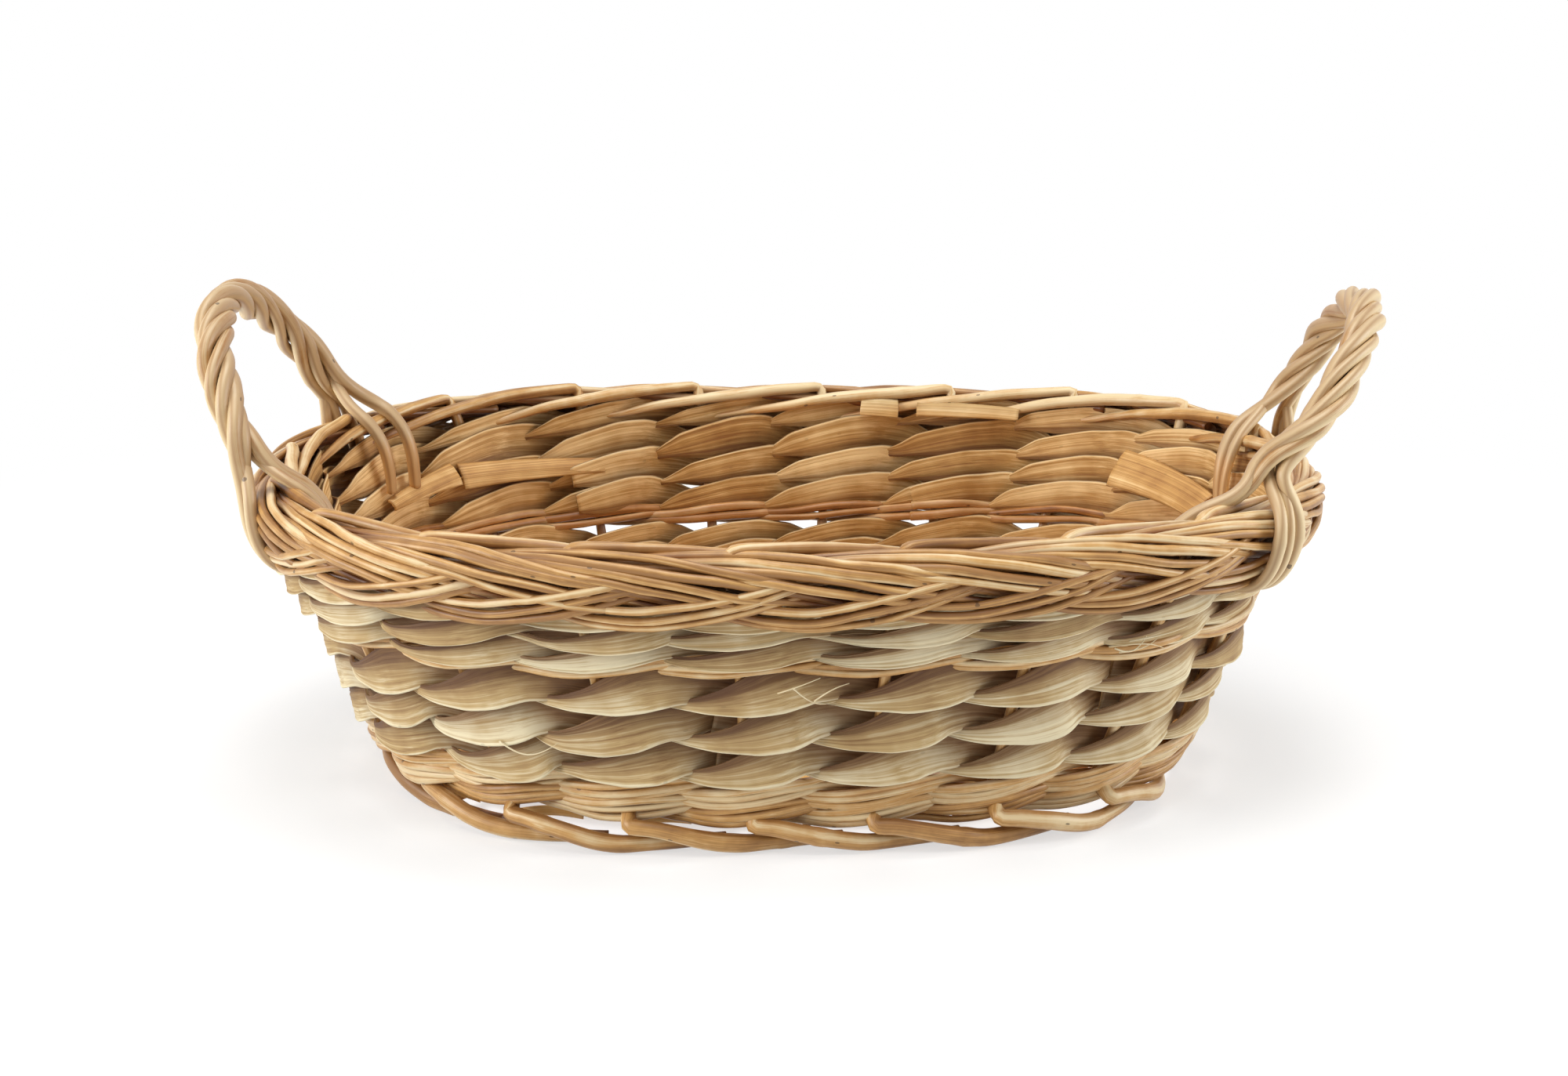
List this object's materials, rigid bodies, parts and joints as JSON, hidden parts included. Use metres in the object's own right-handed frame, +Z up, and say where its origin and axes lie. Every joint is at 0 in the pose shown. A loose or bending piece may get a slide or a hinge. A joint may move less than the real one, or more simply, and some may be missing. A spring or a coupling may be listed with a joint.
{
  "type": "wicker bowl",
  "caption": "Oval wicker bowl with flared woven walls of leaf and willow, a plaited border, a rolled foot and twisted rope handles at its ends.",
  "frame": {"origin": "on the surface the bowl stands on, under the middle of the bowl", "axes": "+X along the bowl's length towards the right handle, +Y across its width towards the back, +Z up"},
  "size_m": [0.3204, 0.222, 0.1341],
  "materials": {
    "willow": "peeled willow rod, lightly polished",
    "leaf": "dried flat leaf, dull with fine lengthwise fibres",
    "base_willow": "peeled willow stick, dull"
  },
  "bodies": {
    "root": {"stake_01": "willow", "stake_02": "willow", "stake_03": "willow", "stake_04": "willow", "stake_05": "willow", "stake_06": "willow", "stake_07": "willow", "stake_08": "willow", "stake_09": "willow", "stake_10": "willow", "stake_11": "willow", "stake_12": "willow", "stake_13": "willow", "stake_14": "willow", "stake_15": "willow", "stake_16": "willow", "stake_17": "willow", "stake_18": "willow", "stake_19": "willow", "stake_20": "willow", "right_handle_rod_1": "willow", "right_handle_rod_2": "willow", "right_handle_rod_3": "willow", "right_handle_rod_4": "willow", "right_handle_rod_5": "willow", "left_handle_rod_1": "willow", "left_handle_rod_2": "willow", "left_handle_rod_3": "willow", "left_handle_rod_4": "willow", "left_handle_rod_5": "willow", "willow_foot_row_1_strand_1": "willow", "willow_foot_row_1_strand_2": "willow", "willow_foot_row_2_strand_1": "willow", "willow_foot_row_2_strand_2": "willow", "leaf_row_1_strand_1": "leaf", "leaf_row_1_strand_2": "leaf", "leaf_row_2_strand_1": "leaf", "leaf_row_2_strand_2": "leaf", "leaf_row_3_strand_1": "leaf", "leaf_row_3_strand_2": "leaf", "willow_middle_row_strand_1": "willow", "willow_middle_row_strand_2": "willow", "leaf_row_4_strand_1": "leaf", "leaf_row_4_strand_2": "leaf", "leaf_row_5_strand_1": "leaf", "leaf_row_5_strand_2": "leaf", "leaf_row_6_strand_1": "leaf", "leaf_row_6_strand_2": "leaf", "leaf_row_7_strand_1": "leaf", "leaf_row_7_strand_2": "leaf", "base_long_stick_1": "base_willow", "base_long_stick_2": "base_willow", "base_long_stick_3": "base_willow", "base_cross_stick_1": "base_willow", "base_cross_stick_2": "base_willow", "base_cross_stick_3": "base_willow", "base_cross_stick_4": "base_willow", "base_cross_stick_5": "base_willow", "base_leaf_weaver_1": "leaf", "base_leaf_weaver_2": "leaf"}
  },
  "joints": []
}
